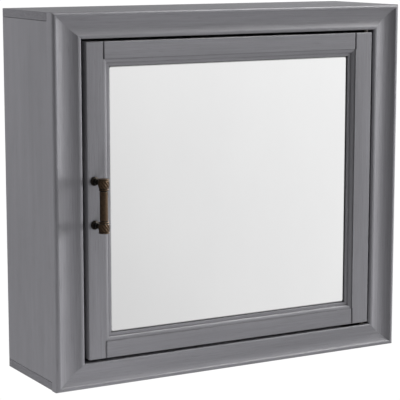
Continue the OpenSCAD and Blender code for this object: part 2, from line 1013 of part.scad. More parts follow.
// Bead pins, driven slantwise in life and drawn square to the edge here
module side_bead_pins(sx, grow = 0) {
    for (k = [-1, 0, 1])
        translate([sx * (seat_x - bead_w + 1), (bead_y + door_back_y) / 2, k * seat_z * bead_pin_spread])
            rotate([0, sx * 90, 0]) cylinder(d = bead_pin_d + 2 * grow, h = bead_pin_len + grow);
}

module cross_bead_pins(sz, grow = 0) {
    for (k = [-1, 0, 1])
        translate([k * seat_x * bead_pin_spread, (bead_y + door_back_y) / 2, sz * (seat_z - bead_w + 1)])
            rotate([sz > 0 ? 0 : 180, 0, 0]) cylinder(d = bead_pin_d + 2 * grow, h = bead_pin_len + grow);
}

module mirror_bead_left() {
    color(paint)
        difference() {
            bead_side();
            side_bead_pins(-1, fit);
        }
}

module mirror_bead_right() {
    color(paint)
        difference() {
            mirror([1, 0, 0]) bead_side();
            side_bead_pins(1, fit);
        }
}

module mirror_bead_top() {
    color(paint)
        difference() {
            bead_cross();
            cross_bead_pins(1, fit);
        }
}

module mirror_bead_bottom() {
    color(paint)
        difference() {
            mirror([0, 0, 1]) bead_cross();
            cross_bead_pins(-1, fit);
        }
}

module bead_pins() {
    color(steel)
        for (s = [-1, 1]) {
            side_bead_pins(s);
            cross_bead_pins(s);
        }
}

// Handle bar, turned, with a ribbed bell at each end
module bar_half() {
    half = bar_len / 2;
    neck = half - bar_end_len;
    r = bar_d / 2;
    bell = bar_end_d / 2;
    rib_points = [for (i = [0:bar_ribs - 1], k = [0, 1])
                  [bell - (k == 0 ? rib_depth : 0), neck + rib_start + (i + k / 2) * rib_pitch]];
    rotate_extrude()
        polygon(concat(
            [[0, -eps], [r, -eps], [r, neck - neck_len], [r - neck_cut, neck - neck_len + neck_slope],
             [r - neck_cut, neck], [r + collar_out, neck + collar_rise]],
            rib_points,
            [[bell, half - end_round_h], [bell - end_round_w, half], [bell - end_dish_w, half - end_dish_h],
             [0, half - end_dish_h]]
        ));
}

module handle_bar() {
    color(bronze)
        translate([handle_x, bar_y, 0])
            difference() {
                union() {
                    bar_half();
                    mirror([0, 0, 1]) bar_half();
                }
                for (sz = [-1, 1])
                    translate([0, 0, sz * handle_pitch / 2])
                        rotate([-90, 0, 0]) cylinder(d = post_d + 2 * fit, h = bar_end_d);
            }
}

// Handle post with a bell-shaped base on the door's face
module handle_post(sz) {
    reach = handle_reach - post_in_bar;
    color(bronze)
        translate([handle_x, face_y, sz * handle_pitch / 2])
            rotate([90, 0, 0])
                difference() {
                    rotate_extrude()
                        polygon(concat(
                            [[0, 0], [base_d / 2, 0], [base_d / 2, base_t]],
                            arc_points(base_d / 2 - base_round, base_t, base_round, 0, 60, roll_steps),
                            arc_points(post_d / 2 + post_fillet, post_fillet_h, post_fillet, 225, 180,
                                       roll_steps),
                            [[post_d / 2, reach], [0, reach]]
                        ));
                    translate([0, 0, -1]) cylinder(d = screw_d + 2 * fit, h = screw_in_post + 2);
                }
}

module handle_post_upper() {
    handle_post(1);
}

module handle_post_lower() {
    handle_post(-1);
}

module handle_screws() {
    color(steel)
        handle_screw_places() {
            cylinder(d = screw_d, h = door_t + screw_in_post);
            translate([0, 0, -screw_head_t]) cylinder(d = screw_head_d, h = screw_head_t);
        }
}

// Strike plate, let into the back of the left stile
module strike_plate() {
    color(steel)
        difference() {
            translate([strike_x, door_back_y - strike_t, catch_z - catch_h / 2])
                cube([strike_w, strike_t, catch_h]);
            strike_screw_places() countersunk_hole(strike_screw_d, strike_screw_head, strike_screw_len);
        }
}

module strike_screws() {
    color(steel)
        strike_screw_places() countersunk(strike_screw_d, strike_screw_head, strike_screw_len);
}

// Rubber bumpers on the back of the left stile, in front of the stops
module door_bumpers() {
    color(rubber_tone)
        for (sz = [-1, 1])
            translate([bumper_x, door_back_y, sz * stop_z])
                rotate([-90, 0, 0])
                    rotate_extrude()
                        polygon([[0, 0], [bumper_d / 2, 0], [bumper_d / 2, bumper_t - bumper_round],
                                 [bumper_d / 2 - bumper_round, bumper_t], [0, bumper_t]]);
}

top_panel();
bottom_panel();
side_panel_left();
side_panel_right();
back_panel();
hanging_rail_upper();
hanging_rail_lower();
moulding_top();
moulding_bottom();
moulding_left();
moulding_right();
shelf_upper();
shelf_lower();
shelf_pins();
carcass_dowels();
frame_dowels();
rail_dowels();
mitre_biscuits();
back_nails();
catch_block();
catch_housing();
catch_magnet();
catch_screws();
stop_blocks();
hinge_frame_leaf_top();
hinge_frame_leaf_bottom();
hinge_pin_top();
hinge_pin_bottom();
hinge_washer_top();
hinge_washer_bottom();
hinge_frame_screws();
door_stile_left();
door_stile_right();
door_rail_top();
door_rail_bottom();
door_dowels();
mirror_glass();
mirror_backing();
mirror_bead_left();
mirror_bead_right();
mirror_bead_top();
mirror_bead_bottom();
bead_pins();
handle_bar();
handle_post_upper();
handle_post_lower();
handle_screws();
hinge_door_leaf_top();
hinge_door_leaf_bottom();
hinge_door_screws();
strike_plate();
strike_screws();
door_bumpers();
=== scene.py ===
"""Looks for the hanging wall cabinet: painted mouldings, framed mirror door, aged bronze handle.

Metres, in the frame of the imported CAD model: X to the right, Y towards the wall, Z up.
Every place is read from the CAD nodes; the shapes below add the detail that the eye sees.
"""

import json
import math

import bmesh
import bpy
import numpy as np
from mathutils import Matrix, Vector


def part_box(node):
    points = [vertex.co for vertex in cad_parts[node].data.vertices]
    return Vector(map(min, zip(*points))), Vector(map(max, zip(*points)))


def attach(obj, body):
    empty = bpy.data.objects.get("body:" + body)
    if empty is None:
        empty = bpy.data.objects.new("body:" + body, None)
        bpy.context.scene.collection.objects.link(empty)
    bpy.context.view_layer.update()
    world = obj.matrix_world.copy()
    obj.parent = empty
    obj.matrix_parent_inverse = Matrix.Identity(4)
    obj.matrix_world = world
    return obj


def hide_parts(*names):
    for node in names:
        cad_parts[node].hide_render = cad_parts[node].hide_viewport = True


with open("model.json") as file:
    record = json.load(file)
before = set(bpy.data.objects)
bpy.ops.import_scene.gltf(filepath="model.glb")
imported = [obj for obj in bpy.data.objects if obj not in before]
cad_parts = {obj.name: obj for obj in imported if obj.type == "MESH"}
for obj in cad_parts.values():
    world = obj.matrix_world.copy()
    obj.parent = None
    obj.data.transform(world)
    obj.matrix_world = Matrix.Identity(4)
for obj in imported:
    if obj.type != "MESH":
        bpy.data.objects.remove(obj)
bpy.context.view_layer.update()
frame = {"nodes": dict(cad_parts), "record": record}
NODES = frame["nodes"]
SLOT_OF = {s["node"]: s["material_slot"] for s in frame["record"]["subparts"]}
MM = 0.001

# ---------------------------------------------------------------- places read from the CAD

LEFT_LOW, LEFT_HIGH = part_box("moulding_left")
TOP_LOW, TOP_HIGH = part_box("moulding_top")
OUTER_X, OUTER_Z = -LEFT_LOW.x, TOP_HIGH.z
OPEN_X, OPEN_Z = -LEFT_HIGH.x, TOP_LOW.z
FRONT_Y, FRAME_BACK_Y = LEFT_LOW.y, LEFT_HIGH.y

STILE_LOW, STILE_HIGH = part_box("door_stile_left")
DOOR_LEFT, DOOR_RIGHT = STILE_LOW.x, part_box("door_stile_right")[1].x
DOOR_Z = STILE_HIGH.z
FACE_Y, DOOR_BACK_Y = STILE_LOW.y, STILE_HIGH.y
SIGHT_X, SIGHT_Z = -STILE_HIGH.x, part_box("door_rail_top")[0].z
GLASS_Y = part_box("mirror_glass")[0].y


# ---------------------------------------------------------------- mesh helpers

SMOOTH_ANGLE = 35
SAME_POINT = 1e-7
TOUCHING = 1e-6
CUT_MARGIN = 0.05 * MM


def linked(name, mesh):
    """An object for a mesh, in the scene."""
    obj = bpy.data.objects.new(name, mesh)
    bpy.context.scene.collection.objects.link(obj)
    return obj


def object_from(name, made):
    """An object from a bmesh, which is freed."""
    mesh = bpy.data.meshes.new(name)
    made.to_mesh(mesh)
    made.free()
    return linked(name, mesh)


def new_object(name, points, faces, smooth_angle=SMOOTH_ANGLE):
    """A mesh object from points and faces, smooth shaded with sharp edges above an angle."""
    mesh = bpy.data.meshes.new(name)
    mesh.from_pydata([tuple(p) for p in points], [], faces)
    mesh.validate()
    outward = bmesh.new()
    outward.from_mesh(mesh)
    bmesh.ops.remove_doubles(outward, verts=outward.verts, dist=SAME_POINT)
    bmesh.ops.recalc_face_normals(outward, faces=outward.faces)
    outward.to_mesh(mesh)
    outward.free()
    obj = linked(name, mesh)
    shade(obj, smooth_angle)
    return obj


def shade(obj, smooth_angle=SMOOTH_ANGLE):
    """Smooth shading, broken at edges that turn by more than smooth_angle degrees."""
    obj.data.polygons.foreach_set("use_smooth", [True] * len(obj.data.polygons))
    obj.data.set_sharp_from_angle(angle=math.radians(smooth_angle))
    obj.data.update()


def loft(loops):
    """Points and faces of a capped skin over closed loops that all have the same number of points."""
    count = len(loops[0])
    points = [p for ring in loops for p in ring]
    faces = []
    for i in range(len(loops) - 1):
        for j in range(count):
            k = (j + 1) % count
            a, b = i * count, (i + 1) * count
            faces.append((a + j, a + k, b + k, b + j))
    faces.append(tuple(range(count)))
    faces.append(tuple(range(len(points) - count, len(points))))
    return points, faces


def block(low, high):
    """A bmesh box from low to high."""
    made = bmesh.new()
    bmesh.ops.create_cube(made, size=1.0)
    made.transform(Matrix.Translation((low + high) / 2) @ Matrix.Diagonal((*(high - low), 1.0)))
    return made


def join(name, *parts):
    """One object from several, keeping the shading of each."""
    whole = bmesh.new()
    for part in parts:
        whole.from_mesh(part.data)
        bpy.data.objects.remove(part)
    return object_from(name, whole)


def cut(obj, *cutters):
    """Subtracts each cutter object from obj and removes the cutters."""
    for cutter in cutters:
        modifier = obj.modifiers.new("cut", "BOOLEAN")
        modifier.operation = "DIFFERENCE"
        modifier.solver = "EXACT"
        modifier.object = cutter
    bpy.context.view_layer.update()
    graph = bpy.context.evaluated_depsgraph_get()
    mesh = bpy.data.meshes.new_from_object(obj.evaluated_get(graph))
    obj.modifiers.clear()
    obj.data = mesh
    shade(obj)
    for cutter in cutters:
        bpy.data.objects.remove(cutter)
    return obj


def box_cutter(low, high):
    """A box from low to high, a little larger all round, to subtract from a piece."""
    corners = [
        (x, y, z)
        for x in (low.x - CUT_MARGIN, high.x + CUT_MARGIN)
        for y in (low.y - CUT_MARGIN, high.y + CUT_MARGIN)
        for z in (low.z - CUT_MARGIN, high.z + CUT_MARGIN)
    ]
    faces = [(0, 1, 3, 2), (4, 6, 7, 5), (0, 4, 5, 1), (2, 3, 7, 6), (0, 2, 6, 4), (1, 5, 7, 3)]
    return new_object("cutter", corners, faces)


def arc(cx, cy, radius, start, end, steps):
    """Points of an arc, angles in degrees."""
    angles = [math.radians(start + (end - start) * i / steps) for i in range(steps + 1)]
    return [(cx + radius * math.cos(a), cy + radius * math.sin(a)) for a in angles]


# ---------------------------------------------------------------- mouldings and ovolo: mitred frames

FRAME_STEPS = 12


def frame_side(outline, side, outer, inner, width):
    """One mitred member of a frame.

    outline holds (distance in from the outer edge, y); side is left, right, top or bottom;
    outer and inner are the frame's half sizes in X and Z, and width is what the outline is drawn for.
    """
    loops = []
    for step in range(FRAME_STEPS + 1):
        t = 2 * step / FRAME_STEPS - 1
        ring = []
        for u, y in outline:
            share = u / width
            x = outer[0] + (inner[0] - outer[0]) * share
            z = outer[1] + (inner[1] - outer[1]) * share
            if side in ("left", "right"):
                ring.append((x if side == "right" else -x, y, z * t))
            else:
                ring.append((x * t, y, z if side == "top" else -z))
        loops.append(ring)
    return loft(loops)


def hollow(start, end, sag, steps):
    """Points of a shallow arc that dips sag below the line from start to end."""
    half = math.hypot(end[0] - start[0], end[1] - start[1]) / 2
    radius = (half * half + sag * sag) / (2 * sag)
    lean = math.degrees(math.atan2(end[1] - start[1], end[0] - start[0]))
    turn = math.degrees(math.asin(half / radius))
    rise = math.radians(lean + 90)
    middle = ((start[0] + end[0]) / 2, (start[1] + end[1]) / 2)
    cx = middle[0] + (radius - sag) * math.cos(rise)
    cy = middle[1] + (radius - sag) * math.sin(rise)
    return arc(cx, cy, radius, 270 + lean - turn, 270 + lean + turn, steps)


# The width that the moulding's section is drawn for; frame_side fits it to the real one.
MOULDING_W = 44 * MM


def moulding_outline():
    """Section of the front moulding, worked out in mm: outer bead, wide hollow, rolled inner lip."""
    bead, bead_in, bead_high, bead_low = 5.0, 3.2, 82, 35
    lip, lip_drop, roll, roll_slope = 3.0, 2.0, 4.5, 24
    hollow_x, sag = 38.0, 4.0
    low = math.radians(bead_low)
    bead_end = (bead + bead_in * math.cos(low), bead_in * (math.sin(low) - 1))
    hollow_end = (hollow_x, -lip_drop - roll * (1 - math.cos(math.radians(roll_slope))))
    front = arc(bead, -bead, bead, 180, 90, steps=14)
    front += arc(bead, -bead_in, bead_in, bead_high, bead_low, steps=8)
    front += hollow(bead_end, hollow_end, sag, steps=32)[1:]
    roll_x = hollow_x + roll * math.sin(math.radians(roll_slope))
    front += arc(roll_x, -lip_drop - roll, roll, 90 + roll_slope, 90, steps=8)[1:]
    front += arc(MOULDING_W / MM - lip, -lip_drop - lip, lip, 90, 0, steps=12)
    section = [(u * MM, FRONT_Y - h * MM) for u, h in front]
    return [(0.0, FRAME_BACK_Y)] + section + [(MOULDING_W, FRAME_BACK_Y)]


def moulding(side):
    """A front moulding with its mitres, and the hinge leaf let into its opening edge."""
    points, faces = frame_side(moulding_outline(), side, (OUTER_X, OUTER_Z), (OPEN_X, OPEN_Z), MOULDING_W)
    piece = new_object(f"front_moulding_{side}", points, faces)
    if side in ("top", "bottom"):
        piece = cut(piece, box_cutter(*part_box(f"hinge_frame_leaf_{side}")))
    return piece


OVOLO_W = 11 * MM
OVOLO_RUN, OVOLO_DROP, QUIRK = 6.2 * MM, 3.7 * MM, 1.2 * MM
OVOLO_SOFT = 0.35 * MM
OVOLO_STEPS = 14
REBATE_W = 7 * MM
FLAT_X = SIGHT_X + OVOLO_W
FLAT_Z = SIGHT_Z + OVOLO_W


def ovolo_outline():
    """Section of the door's inner moulding: quirk, ovolo, fillet and the rebate for the mirror."""
    curve = []
    for i in range(OVOLO_STEPS + 1):
        a = math.pi / 2 * i / OVOLO_STEPS
        curve.append((OVOLO_RUN * math.sin(a), FACE_Y + QUIRK + OVOLO_DROP * (1 - math.cos(a))))
    fillet_y = FACE_Y + QUIRK + OVOLO_DROP
    soft_part = 0.3 * OVOLO_SOFT
    curve += [(OVOLO_W - OVOLO_SOFT, fillet_y), (OVOLO_W - soft_part, fillet_y + soft_part)]
    curve += [(OVOLO_W, fillet_y + OVOLO_SOFT), (OVOLO_W, GLASS_Y), (OVOLO_W - REBATE_W, GLASS_Y)]
    curve += [(OVOLO_W - REBATE_W, DOOR_BACK_Y), (0, DOOR_BACK_Y)]
    return curve


def ovolo(side):
    """The mitred ovolo on one side of the mirror."""
    points, faces = frame_side(ovolo_outline(), side, (FLAT_X, FLAT_Z), (SIGHT_X, SIGHT_Z), OVOLO_W)
    return new_object(f"ovolo_{side}", points, faces, smooth_angle=40)


# ---------------------------------------------------------------- door

ARRIS = 1.5 * MM
GROOVE = 1.7 * MM
GROOVE_DEPTH = 1.1 * GROOVE
GROOVE_START = 0.2 * MM
GROOVE_PAST = 1.0 * MM


def bar(name, low, high, rounded):
    """A squared bar whose front edges named in rounded (left, right, top, bottom) are rounded over."""
    made = block(low, high)
    tests = {
        "left": lambda m: abs(m.x - low.x) < TOUCHING,
        "right": lambda m: abs(m.x - high.x) < TOUCHING,
        "top": lambda m: abs(m.z - high.z) < TOUCHING,
        "bottom": lambda m: abs(m.z - low.z) < TOUCHING,
    }
    picked = []
    for edge in made.edges:
        m = (edge.verts[0].co + edge.verts[1].co) / 2
        if abs(m.y - low.y) < TOUCHING and any(tests[r](m) for r in rounded):
            picked.append(edge)
    bmesh.ops.bevel(
        made, geom=picked, offset=ARRIS, segments=6, profile=0.5, affect="EDGES", clamp_overlap=True)
    obj = object_from(name, made)
    shade(obj)
    return obj


def groove_cutter(sx, sz):
    """The V-groove along one joint between a stile and a rail."""
    x, low, high = sx * FLAT_X, FLAT_Z - GROOVE_START, DOOR_Z + GROOVE_PAST
    front = FACE_Y - CUT_MARGIN
    section = [(x - GROOVE_DEPTH, front), (x + GROOVE_DEPTH, front), (x, FACE_Y + GROOVE_DEPTH)]
    loops = [[(px, py, sz * z) for px, py in section] for z in (low, high)]
    return new_object("groove", *loft(loops))


def door_cuts(sx, sz):
    """What is let into the corner of the door at sx, sz: the joint's groove and the hinge leaf."""
    cuts = [groove_cutter(sx, sz)]
    if sx > 0:
        cuts.append(box_cutter(*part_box("hinge_door_leaf_top" if sz > 0 else "hinge_door_leaf_bottom")))
    return cuts


def stile(side):
    """A door stile: flat bar with rounded front edges, and its side of the ovolo."""
    sx = 1 if side == "right" else -1
    edge, flat = (DOOR_RIGHT if sx > 0 else DOOR_LEFT), sx * FLAT_X
    low = Vector((min(edge, flat), FACE_Y, -DOOR_Z))
    high = Vector((max(edge, flat), DOOR_BACK_Y, DOOR_Z))
    flat_bar = bar("stile_bar", low, high, (side, "top", "bottom"))
    cuts = door_cuts(sx, 1) + door_cuts(sx, -1)
    if side == "left":
        cuts.append(box_cutter(*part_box("strike_plate")))
    cut(flat_bar, *cuts)
    return join(f"stile_{side}", flat_bar, ovolo(side))


def rail(side):
    """A door rail between the stiles, with its side of the ovolo."""
    sz = 1 if side == "top" else -1
    edge, flat = sz * DOOR_Z, sz * FLAT_Z
    low = Vector((-FLAT_X, FACE_Y, min(edge, flat)))
    high = Vector((FLAT_X, DOOR_BACK_Y, max(edge, flat)))
    flat_bar = bar("rail_bar", low, high, (side,))
    cut(flat_bar, *door_cuts(-1, sz), *door_cuts(1, sz))
    return join(f"rail_{side}", flat_bar, ovolo(side))


# ---------------------------------------------------------------- carcass boards

END_ARRIS = 1.8 * MM


def board(side):
    """The top or bottom board, rebated for the back; its ends show at the sides and have eased corners."""
    made = block(*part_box(f"{side}_panel"))
    ends = [e for e in made.edges if abs(e.verts[0].co.x - e.verts[1].co.x) < MM]
    bmesh.ops.bevel(made, geom=ends, offset=END_ARRIS, segments=4, profile=0.5, affect="EDGES")
    return cut(object_from(f"{side}_board", made), box_cutter(*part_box("back_panel")))


# ---------------------------------------------------------------- handle


def turned(name, profile, place, axis="z", sides=72, relief=None):
    """A turned piece. profile holds (radius, height); relief changes the radius with angle and height."""
    rings = []
    for radius, height in profile:
        ring = []
        for k in range(sides):
            a = 2 * math.pi * k / sides
            r = radius if relief is None else relief(radius, a, height)
            x, y = r * math.cos(a), r * math.sin(a)
            local = (x, y, height) if axis == "z" else (x, -height, y)
            ring.append((place.x + local[0], place.y + local[1], place.z + local[2]))
        rings.append(ring)
    return new_object(name, *loft(rings), smooth_angle=50)


def half_round(radius, height, size, start, count):
    """Points round the outside of a bead on a turned piece, from low to high; start is the first angle."""
    angles = np.linspace(start, math.pi - start, count)
    return [(radius + size * math.sin(a), height - size * math.cos(a)) for a in angles]


# The bar. IN comes off the nearest radius, UP is measured from the end of the shaft, and SHORT and
# DOWN are measured back from the tip, as CAP_NECK_FROM and CAP_NECK_TO are.
BAR_SLIMMER = 2.25 * MM
SHAFT_SHORT = 19.0 * MM
SHAFT_WAIST = 0.955
SHAFT_STEPS = 8
NECK_IN, NECK_FROM, NECK_TO = 0.9 * MM, 0.5 * MM, 1.3 * MM
RING_UP, RING_R = 2.6 * MM, 1.25 * MM
BELL_UP, BELL_SHORT, BELL_IN = 4.8 * MM, 3.2 * MM, 0.15 * MM
BELL_STEPS = 14
BELL_FIRST, BELL_SPAN = 0.16, 0.62  # the part of a half sine wave that the bell follows
CAP_NECK_IN, CAP_NECK_FROM, CAP_NECK_TO = 1.5 * MM, 2.7 * MM, 2.3 * MM
CAP_IN, CAP_DOWN, CAP_R = 1.3 * MM, 1.4 * MM, 0.9 * MM
DOME = ((2.6, 0.35), (4.2, 0.1))  # mm in from the end's radius, mm down from the tip
TIP_R = 0.4 * MM
RIBS = 10
RIB_TWIST = 1.15
RIB_DEPTH = 1.0 * MM
RIB_SHARPNESS = 1.3
RIB_FADE = 5


def bar_profile(half, r_bar, r_end):
    """Half of the handle bar from the middle outwards: swelling shaft, neck, ring, bell and domed cap.

    Also gives where the bell starts and ends.
    """
    shaft = half - SHAFT_SHORT
    points = []
    for i in range(SHAFT_STEPS + 1):
        t = i / SHAFT_STEPS
        points.append((r_bar * (SHAFT_WAIST + (1 - SHAFT_WAIST) * t ** 2), shaft * t))
    points += [(r_bar - NECK_IN, shaft + NECK_FROM), (r_bar - NECK_IN, shaft + NECK_TO)]
    points += half_round(r_bar - 0.2 * MM, shaft + RING_UP, RING_R, start=0.2, count=9)
    points += [(r_bar - 0.1 * MM, shaft + 4.2 * MM)]
    bell_low, bell_high = shaft + BELL_UP, half - BELL_SHORT
    for i in range(BELL_STEPS + 1):
        t = i / BELL_STEPS
        swell = math.sin(math.pi * (BELL_FIRST + BELL_SPAN * t))
        points.append((r_bar + (r_end - BELL_IN - r_bar) * swell, bell_low + (bell_high - bell_low) * t))
    points += [(r_end - CAP_NECK_IN, half - CAP_NECK_FROM), (r_end - CAP_NECK_IN, half - CAP_NECK_TO)]
    points += half_round(r_end - CAP_IN, half - CAP_DOWN, CAP_R, start=0.3, count=7)
    points += [(r_end - inward * MM, half - down * MM) for inward, down in DOME]
    points += [(TIP_R, half)]
    return points, bell_low, bell_high


def handle_bar():
    """The turned bar with slanted ribs on the bell at each end."""
    low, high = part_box("handle_bar")
    centre, half = (low + high) / 2, (high.z - low.z) / 2
    r_end = (high.x - low.x) / 2
    profile, bell_low, bell_high = bar_profile(half, r_end - BAR_SLIMMER, r_end)

    def ribs(radius, angle, height):
        t = (abs(height) - bell_low) / (bell_high - bell_low)
        if not 0 < t < 1:
            return radius
        fade = min(1.0, RIB_FADE * t, RIB_FADE * (1 - t))
        wave = 0.5 + 0.5 * math.cos(RIBS * (angle + RIB_TWIST * math.copysign(t, height)))
        return radius - RIB_DEPTH * fade * (1 - wave) ** RIB_SHARPNESS

    whole = [(r, -z) for r, z in reversed(profile)] + profile[1:]
    return turned("pull_bar", whole, centre, sides=144, relief=ribs)


# A post. RIM and UP are measured from the door's face, and OUT from the post's own radius.
CENTRE_R = 0.2 * MM
FOOT_RIM, FOOT_ROUND = 1.0 * MM, 0.9 * MM
FLARE_UP, FLARE_OUT, FLARE_RISE = 2.3 * MM, 2.7 * MM, 4.5 * MM
# The ring on a post: mm out from the post, mm up from the door's face.
POST_RING = ((0.0, 9.0), (0.55, 9.5), (0.7, 10.2), (0.55, 10.9), (0.0, 11.4))


def handle_post(end):
    """A post with a bell foot on the door's face and a small ring above the foot."""
    low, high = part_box(f"handle_post_{end}")
    r_foot = (high.x - low.x) / 2
    reach = high.y - low.y
    r = r_foot / 2
    place = Vector(((low.x + high.x) / 2, high.y, (low.z + high.z) / 2))
    profile = [(CENTRE_R, 0), (r_foot - 0.2 * MM, 0), (r_foot, 0.25 * MM), (r_foot, FOOT_RIM)]
    for a in np.linspace(0.3, 1.5, 5):
        profile.append((r_foot - FOOT_ROUND * (1 - math.cos(a)), FOOT_RIM + FOOT_ROUND * math.sin(a)))
    for a in np.linspace(0.1, 1.57, 9):
        profile.append((r + FLARE_OUT * (1 - math.sin(a)), FLARE_UP + FLARE_RISE * (1 - math.cos(a))))
    profile += [(r + out * MM, up * MM) for out, up in POST_RING]
    profile += [(r, reach), (CENTRE_R, reach)]
    return turned(f"pull_post_{end}", profile, place, axis="y")


# ---------------------------------------------------------------- material helpers


def fresh_material(name):
    """A material with only its output and Principled shader."""
    material = bpy.data.materials.new(name)
    material.use_nodes = True
    tree = material.node_tree
    shader = next(n for n in tree.nodes if n.type == "BSDF_PRINCIPLED")
    return material, tree, shader


def add(tree, kind, settings=None, **inputs):
    """A node with its settings, and inputs given as values or as sockets to link.

    An input is named as in Blender, or by its number after the letter i.
    """
    node = tree.nodes.new(kind)
    for key, value in (settings or {}).items():
        setattr(node, key, value)
    for key, value in inputs.items():
        socket = node.inputs[int(key[1:])] if key[0] == "i" and key[1:].isdigit() else node.inputs[key]
        if isinstance(value, bpy.types.NodeSocket):
            tree.links.new(value, socket)
        else:
            socket.default_value = value
    return node


def finish_with(tree, shader, colour, rough, normal):
    """Links the patterns that every finish has."""
    tree.links.new(colour, shader.inputs["Base Color"])
    tree.links.new(rough, shader.inputs["Roughness"])
    tree.links.new(normal, shader.inputs["Normal"])


def own_place(tree, scale=(1, 1, 1)):
    """Coordinates on the piece itself, in metres, stretched by scale."""
    coords = add(tree, "ShaderNodeTexCoord")
    return add(tree, "ShaderNodeMapping", Vector=coords.outputs["Object"], Scale=scale).outputs["Vector"]


def own_normal(tree):
    """The surface's direction on the piece itself, as three outputs."""
    coords = add(tree, "ShaderNodeTexCoord")
    return add(tree, "ShaderNodeSeparateXYZ", Vector=coords.outputs["Normal"]).outputs


def noise(tree, place, scale=1.0, detail=4.0, rough=0.55, distortion=0.0):
    """A noise pattern's value."""
    return add(tree, "ShaderNodeTexNoise", Vector=place, Scale=scale, Detail=detail, Roughness=rough,
               Distortion=distortion).outputs["Fac"]


def remap(tree, value, low, high, to_low=0.0, to_high=1.0):
    """value moved from one range to another, and kept inside it."""
    node = add(tree, "ShaderNodeMapRange", Value=value)
    for key, number in (("From Min", low), ("From Max", high), ("To Min", to_low), ("To Max", to_high)):
        node.inputs[key].default_value = number
    return node.outputs["Result"]


NOISE_LOW, NOISE_HIGH = 0.3, 0.7


def spread(tree, pattern, to_low=0.0, to_high=1.0):
    """A noise pattern's usual values spread over a whole range."""
    return remap(tree, pattern, NOISE_LOW, NOISE_HIGH, to_low, to_high)


def blend_colours(tree, factor, first, second):
    """first where factor is 0 and second where it is 1."""
    node = add(tree, "ShaderNodeMix", {"data_type": "RGBA"})
    for socket, value in ((node.inputs[0], factor), (node.inputs[6], first), (node.inputs[7], second)):
        if isinstance(value, bpy.types.NodeSocket):
            tree.links.new(value, socket)
        else:
            socket.default_value = value
    return node.outputs[2]


def maths(tree, operation, first, second=0.0):
    """A sum, product or other operation on two values."""
    return add(tree, "ShaderNodeMath", {"operation": operation}, i0=first, i1=second).outputs[0]


def times(tree, first, second):
    """The product of two values."""
    return maths(tree, "MULTIPLY", first, second)


def weighted(tree, *pairs):
    """The sum of patterns, each given with its weight."""
    total = None
    for pattern, weight in pairs:
        term = times(tree, pattern, weight)
        total = term if total is None else maths(tree, "ADD", total, term)
    return total


def bump(tree, height, distance, strength=1.0, normal=None):
    """A normal from a height pattern; distance is the height's full depth in metres."""
    node = add(tree, "ShaderNodeBump", Height=height, Distance=distance, Strength=strength)
    if normal is not None:
        tree.links.new(normal, node.inputs["Normal"])
    return node.outputs["Normal"]


def edge_mask(tree, radius):
    """1 on worn corners and 0 on flat ground, found by how far the rounded normal turns; and that normal."""
    flat, corner = 0.995, 0.85
    rounded = add(tree, "ShaderNodeBevel", {"samples": 6}, Radius=radius)
    ground = add(tree, "ShaderNodeNewGeometry")
    turn = add(tree, "ShaderNodeVectorMath", {"operation": "DOT_PRODUCT"})
    tree.links.new(rounded.outputs["Normal"], turn.inputs[0])
    tree.links.new(ground.outputs["Normal"], turn.inputs[1])
    return remap(tree, turn.outputs["Value"], flat, corner), rounded.outputs["Normal"]


def cavity_mask(tree, reach, open_ground, deep):
    """1 deep in a joint or corner and 0 on open ground."""
    shelter = add(tree, "ShaderNodeAmbientOcclusion", {"samples": 8}, Distance=reach)
    return remap(tree, shelter.outputs["AO"], open_ground, deep)


def shade_of(colour, factor):
    """A colour made lighter or darker by a factor."""
    return (colour[0] * factor, colour[1] * factor, colour[2] * factor, 1.0)


AXES = {"x": 0, "y": 1, "z": 2}


def stretched(axis, along, across):
    """Mapping scale for a pattern that runs along one axis."""
    return tuple(along if i == AXES[axis] else across for i in range(3))


# ---------------------------------------------------------------- materials

PAINT = (0.168, 0.166, 0.180)
PAINT_DARK, PAINT_LIGHT = shade_of(PAINT, 0.82), shade_of(PAINT, 1.18)
PAINT_IN_PORES = shade_of(PAINT, 0.55)
END_DARK, END_LIGHT = shade_of(PAINT, 0.62), shade_of(PAINT, 1.02)
PAINT_WORN = shade_of(PAINT, 1.45)
# Near-black painted shade for grooves, joints and the gaps round the door.
PAINT_CREVICE_SHADE = shade_of(PAINT, 0.07)


